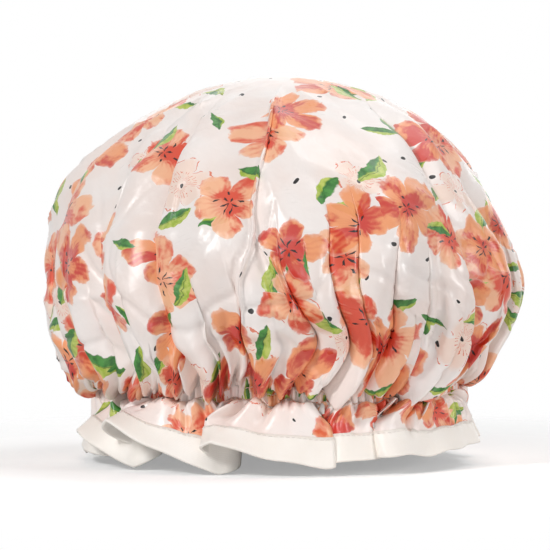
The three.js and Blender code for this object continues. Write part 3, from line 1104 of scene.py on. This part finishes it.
def colour(code):
    """A written colour such as f4a184 as the linear numbers that a shader takes."""
    parts = [int(code[i:i + 2], 16) / 255 for i in (0, 2, 4)]
    return (*(p / 12.92 if p <= 0.04045 else ((p + 0.055) / 1.055) ** 2.4 for p in parts), 1)


def flat_millimetres(wire):
    return wire.make("ShaderNodeUVMap", {"uv_map": "flat_cloth"}) * MM_IN_A_METRE


def space_millimetres(wire):
    return wire.make("ShaderNodeTexCoord", output="Object") * MM_IN_A_METRE


def mottled(place, size, detail, first, second):
    """Clouds of two colours that differ little, as on any real cloth."""
    return place.noise(size, detail).ease(0.3, 0.7).blend(colour(first), colour(second))


print("a petal colour", [round(c, 3) for c in colour("f4a184")])

# %% [markdown]
# The satin's print is a scatter of coral blossoms, pale line blossoms, leaves and dots. A Voronoi texture
# gives each motif a cell: where its middle is, and a few random numbers of its own. Around that middle
# the motif is drawn with plain trigonometry, in millimetres of flat cloth, so it folds with the satin.

# %% Scatter motifs and outline petals
def scatter(place, spacing, shift, looseness):
    """Offsets from the nearest motif's middle, and that motif's three random numbers."""
    spot = (place + shift) / spacing
    settings = {"voronoi_dimensions": "2D", "feature": "F1"}
    inputs = {"Vector": spot, "Scale": 1.0, "Randomness": looseness}
    cell = spot.make("ShaderNodeTexVoronoi", settings, inputs, "Position")
    chance = Wire(cell.tree, cell.socket.node.outputs["Color"])
    return (spot - cell) * spacing, chance.parts()


def polar(offset, spin):
    """Distance and angle round a motif's middle, turned by a share of a full turn."""
    across, along, _ = offset.parts()
    distance = (across * across + along * along).math("SQRT")
    return distance, along.math("ARCTAN2", across) + spin * FULL_TURN


def petals(offset, chance, size, ragged):
    """Distance, angle, and how far inside the five-petalled outline a point is, in millimetres."""
    distance, angle = polar(offset, chance[0])
    lobes = abs((angle * 2.5).math("COSINE"))
    which = (angle * (2.5 / math.pi) + 0.5).math("FLOOR")
    odd = (which * 2.4 + chance[1] * 6).math("SINE")
    outline = size * (0.8 + 0.3 * chance[2]) * (0.50 + 0.5 * lobes ** 0.55) * (1 + 0.13 * odd)
    return distance, angle, outline + ragged - distance


print("petals lie", 360 / 5, "degrees apart")

# %% [markdown]
# Each kind of motif is painted over the colours under it. A watercolour blossom is deep at its heart and
# where the wash pooled, pale along its rim, and has dark stamens. Line blossoms, leaves and dots need
# only an outline, a second tone and a few thin lines.

# %% Draw the print's motifs
STAMENS = 9
INK = "100a0a"


def blossoms(place, under, spacing, shift, size, share, pale, deep):
    """Watercolour blossoms painted over the colour under them."""
    offset, chance = scatter(place, spacing, shift, 0.75)
    ragged = (place.noise(7) - 0.5) * 7.0
    distance, angle, inside = petals(offset, chance, size, ragged)
    wash = place.noise(14, 5)
    veins = ((angle * 27.0 + place.noise(9) * 9.0).math("SINE") * 0.5 + 0.5) * distance.ease(3, 9)
    heart = 1 - distance.ease(1, size * 0.62)
    depth = heart * 0.75 + wash.ease(0.4, 0.64) * 0.95 + veins * 0.25 + chance[1] * 0.4 - 0.42
    rim = 1 - inside.ease(0.2, 2.2)
    paint = depth.ease(0, 1).blend(colour(pale), colour(deep))
    paint = (rim * 0.35).blend(paint, colour("fbd9c8"))
    covered = inside.ease(-0.4, 0.5) * (chance[2] * 0.77 + chance[0] * 0.23 < share)
    strokes = abs((angle * (STAMENS / FULL_TURN) + chance[1]).math("FRACT") - 0.5) * distance * 0.7
    reach = 5.2 + 2.4 * (angle * 4.0).math("SINE")
    stamen = (strokes < 0.5) * (distance > reach - 2.2) * (distance < reach)
    result = (covered * 0.94).blend(under, paint)
    return (covered * stamen).blend(result, colour("1c0d0a"))


def line_blossoms(place, under, spacing, shift, size, share):
    """Pale blossoms of thin coral lines round a dark dot."""
    offset, chance = scatter(place, spacing, shift, 0.7)
    distance, angle, inside = petals(offset, chance, size, (place.noise(6) - 0.5) * 5.0)
    shown = chance[1] < share
    rays = abs((angle * 14.0 + place.noise(5) * 5.0).math("SINE"))
    veins = (rays < 0.3) * (place.noise(3) > 0.47) * (distance > 2.0) * (distance < size * 0.5)
    rim = (abs(inside) < 0.4) * (place.noise(4) > 0.47)
    tint = (inside.ease(-1, 3) * 0.75 * shown).blend(under, colour("fadccb"))
    drawn = (veins.math("MAXIMUM", rim) * shown * 0.9).blend(tint, colour("e2714c"))
    return ((distance < 1.0) * shown).blend(drawn, colour(INK))


def leaves(place, under, spacing, shift, size, share):
    """Two-tone leaves, dark on one side of the rib and yellow-green on the other."""
    offset, chance = scatter(place, spacing, shift, 0.85)
    distance, angle = polar(offset, chance[0])
    along = distance * angle.math("COSINE") + (place.noise(6) - 0.5) * 2.0
    across = distance * angle.math("SINE") + along * along * 0.018 - 1.0 + (place.noise(4) - 0.5) * 2.2
    length = size * (0.7 + 0.5 * chance[2])
    half = (1 - (along / length) ** 2.0) * length * (0.3 + 0.2 * chance[1])
    covered = (half - abs(across)).ease(-0.2, 0.3) * (chance[1] < share) * (abs(along) < length)
    shade = place.noise(3, 4).ease(0.3, 0.7)
    dark = shade.blend(colour("2f6a2c"), colour("4d9440"))
    light = shade.blend(colour("9fb83c"), colour("c6d06a"))
    paint = (across + (chance[2] - 0.45) * 3.0).ease(-0.5, 0.5).blend(dark, light)
    rib = (abs(across) < 0.22) * (along > -0.6 * length)
    return covered.blend(under, (rib * 0.6).blend(paint, colour("24501f")))


def dots(place, under, spacing, shift, share):
    """Black dots, each in a faint white ring."""
    offset, chance = scatter(place, spacing, shift, 0.9)
    distance, angle = polar(offset, chance[0])
    distance = distance * (1 + 0.18 * (angle * 2.0).math("SINE"))
    shown = chance[1] < share
    ringed = ((1 - distance.ease(1.3, 1.7)) * shown * 0.3).blend(under, colour("fbf6f2"))
    return ((1 - distance.ease(1.0, 1.2)) * shown).blend(ringed, colour(INK))


print("motifs", [motif.__name__ for motif in (blossoms, line_blossoms, leaves, dots)])

# %% [markdown]
# The print goes on in layers, from the ground up. Satin also has a fine weave and a soft, broad gloss:
# the threads lie so close that the cloth shines along its folds. The weave is a bump of two crossing
# sets of lines, and slubs make the gloss a little uneven.

# %% Print the satin
satin_material, wire, shader = new_material(
    "printed_satin", Specular_IOR_Level=0.42, Sheen_Weight=0.03, Sheen_Roughness=0.35,
    Coat_Roughness=0.2, Coat_Weight=0.2,
)
flat = flat_millimetres(wire)
place = flat + (flat.noise(11, 2, "Color") - 0.5) * (5.0, 5.0, 0.0)
paint = mottled(flat, 40, 3, "faf2ee", "f8e9e2")
paint = line_blossoms(place, paint, 46.0, (13.0, 29.0, 0.0), 15.0, 0.62)
paint = dots(place, paint, 25.0, (18.0, 77.0, 0.0), 0.6)
paint = leaves(place, paint, 36.0, (71.0, 5.0, 0.0), 12.0, 0.7)
paint = blossoms(place, paint, 60.0, (31.0, 47.0, 0.0), 21.5, 0.76, "fcbc92", "e03c04")
paint = blossoms(place, paint, 57.0, (113.0, 91.0, 0.0), 21.0, 0.76, "f69f68", "cf2000")
paint = leaves(place, paint, 45.0, (37.0, 83.0, 0.0), 10.5, 0.6)
paint.feed(shader["Base Color"])
across, along, _ = flat.parts()
threads = along.waves(0.45) * 0.6 + across.waves(0.9) * 0.25
slubs = (flat * (0.12, 1.0, 1.0)).noise(1.4, 2)
gloss = slubs * 0.07 + flat.noise(20) * 0.1 + 0.22
gloss.feed(shader["Roughness"])
crumple = flat.noise(16, 3) * 0.9 + flat.noise(6, 2) * 0.2
weave = (threads + slubs * 0.4).bump(0.25, 0.00006, Normal=crumple.bump(0.6, 0.0018))
weave.feed(shader["Normal"])
satin.data.materials.append(satin_material)
print("print has", len(wire.tree.nodes), "nodes")

# %% [markdown]
# The lining is a soft white film, slightly crinkled and milky. The binding is plain ivory satin ribbon,
# with a weave across it and the small puckers of its seam.

# %% Finish the lining and the binding
lining_material, wire, shader = new_material("lining_film", Specular_IOR_Level=0.45)
flat = flat_millimetres(wire)
mottled(flat, 25, 4, "ece9e6", "f3f1ee").feed(shader["Base Color"])
(flat.noise(8) * 0.2 + 0.3).feed(shader["Roughness"])
crinkle = flat.noise(4, 4) + flat.noise(14, 3) * 2
crinkle.bump(0.3, 0.0006).feed(shader["Normal"])
lining.data.materials.append(lining_material)

binding_material, wire, shader = new_material("ivory_binding", Specular_IOR_Level=0.5, Sheen_Weight=0.1)
flat = flat_millimetres(wire)
mottled(flat, 18, 4, "fbf5ed", "fdf8f1").feed(shader["Base Color"])
(flat.noise(6) * 0.16 + 0.3).feed(shader["Roughness"])
across, along, _ = flat.parts()
threads = across.waves(0.5) * 0.5 + along.waves(0.8) * 0.3
puckers = (flat * (1.0, 0.25, 1.0)).noise(3.2, 2) * 3.0
(threads + puckers).bump(0.3, 0.0001).feed(shader["Normal"])
binding.data.materials.append(binding_material)
print("finishes", lining_material.name, binding_material.name)

# %% [markdown]
# The elastic is knitted, so its bump is as fine as its loops. The thread has a twist that shows close up,
# as a bump and as painted shade: its colour is darker in the twist's grooves and lighter on its ridges.
# Neither has a flat cloth of its own, and their patterns are measured in space.

# %% Finish the elastic and the thread
elastic_material, wire, shader = new_material("white_elastic", Roughness=0.7, Sheen_Weight=0.2)
spot = space_millimetres(wire)
mottled(spot, 3, 4, "e6e2dc", "f2efea").feed(shader["Base Color"])
spot.noise(0.7, 2).bump(0.5, 0.0002).feed(shader["Normal"])
elastic.data.materials.append(elastic_material)

thread_material, wire, shader = new_material("ivory_thread", Roughness=0.45, Sheen_Weight=0.15)
right, deep, high = space_millimetres(wire).parts()
twist = (right + deep + high * 1.5).waves(0.5)
# Painted shade and highlight: the thread's colour follows the twist, darker in its grooves and lighter on
# its ridges.
twist.ease(-1, 1).blend(colour("ece5dc"), colour("f7f2ec")).feed(shader["Base Color"])
twist.bump(0.4, 0.00008).feed(shader["Normal"])
for piece in (upper_seam, lower_seam, hem_seam):
    piece.data.materials.append(thread_material)
print("finishes", elastic_material.name, thread_material.name)

# %% [markdown]
# The studio has a soft lamp to the left, a low one in front, a weaker one to the right, one above and
# one behind. The surround is white only to the camera and to reflections: what it sheds on the cap
# stays at a plain level.

# %% Light the cap
LAMP_AIM = Vector((0, 0, 0.1))
SURROUND_LIGHT = 0.16


def area_lamp(name, place, power, size):
    lamp = bpy.data.objects.new(name, bpy.data.lights.new(name, "AREA"))
    lamp.data.energy = power
    lamp.data.size = size
    lamp.location = place
    lamp.rotation_euler = (LAMP_AIM - Vector(place)).to_track_quat("-Z", "Y").to_euler()
    scene.collection.objects.link(lamp)


area_lamp("key_lamp", (-0.9, -1.0, 0.85), 11.2, 0.3)
area_lamp("low_lamp", (-0.25, -1.5, 0.1), 2.7, 0.3)
area_lamp("fill_lamp", (1.3, -0.7, 0.4), 7.2, 0.4)
area_lamp("top_lamp", (0.5, 0.05, 1.2), 4.0, 0.6)
area_lamp("back_lamp", (0.3, 1.6, 0.8), 8, 2.0)
world = bpy.data.worlds.new("studio")
scene.world = world
world.use_nodes = True
wire = Wire(world.node_tree)
sight = wire.make("ShaderNodeLightPath", output="Is Camera Ray")
rays = sight.socket.node.outputs
seen = sight.math("MAXIMUM", Wire(wire.tree, rays["Is Glossy Ray"]))
seen = seen.math("MAXIMUM", Wire(wire.tree, rays["Is Transmission Ray"]))
surround = world.node_tree.nodes["Background"]
surround.inputs["Color"].default_value = (1, 1, 1, 1)
(seen * (1 - SURROUND_LIGHT) + SURROUND_LIGHT).feed(surround.inputs["Strength"])

# %% [markdown]
# The floor is a pale disc that fades out into the white surround and keeps the cap's soft shadow. It is
# there for the picture only.

# %% Lay the floor
FLOOR_REACH = 700.0
FLOOR_CORNERS = 96
FLOOR_GLOW = 0.32
floor_turns = np.arange(FLOOR_CORNERS) * FULL_TURN / FLOOR_CORNERS
floor = mesh_object("floor", ring_points(FLOOR_REACH, floor_turns, 0), [tuple(range(FLOOR_CORNERS))])
floor_material, wire, shader = new_material("pale_floor", Roughness=0.9, Specular_IOR_Level=0.1)
shader["Base Color"].default_value = (0.93, 0.93, 0.93, 1)
right, deep, _ = wire.make("ShaderNodeTexCoord", output="Object").parts()
from_middle = (right * right + deep * deep).math("SQRT")
(1 - from_middle.ease(0.13, 0.42)).feed(shader["Alpha"])
sight = wire.make("ShaderNodeLightPath", output="Is Camera Ray")
(sight * FLOOR_GLOW).feed(shader["Emission Color"])
shader["Emission Strength"].default_value = 1
floor.data.materials.append(floor_material)
print("floor", round(2 * FLOOR_REACH * MM, 2), "m across")

# %% [markdown]
# The table lists each piece with its finish and the solids it stands for. Each piece rides on the root
# body, and the solids it stands for are hidden. The size the two sheets were cut to is worked out and
# printed.

# %% Hand the pieces over
STANDS_FOR = [
    (satin, "satin", ("satin_crown", "satin_frill")),
    (lining, "lining", ("lining_crown", "lining_frill")),
    (binding, "binding", ("hem_binding",)),
    (elastic, "elastic", ("elastic_band",)),
    (upper_seam, "thread", ("channel_seam_upper",)),
    (lower_seam, "thread", ("channel_seam_lower",)),
    (hem_seam, "thread", ("hem_seam",)),
]
for piece, finish, nodes in STANDS_FOR:
    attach(piece, "root")
    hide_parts(*nodes)
cut_across = 2 * EDGE_ARC * MM
cut_area = math.pi * (EDGE_ARC * MM) ** 2
print("cut across", round(cut_across, 3), "m, area", round(cut_area, 4), "m2")
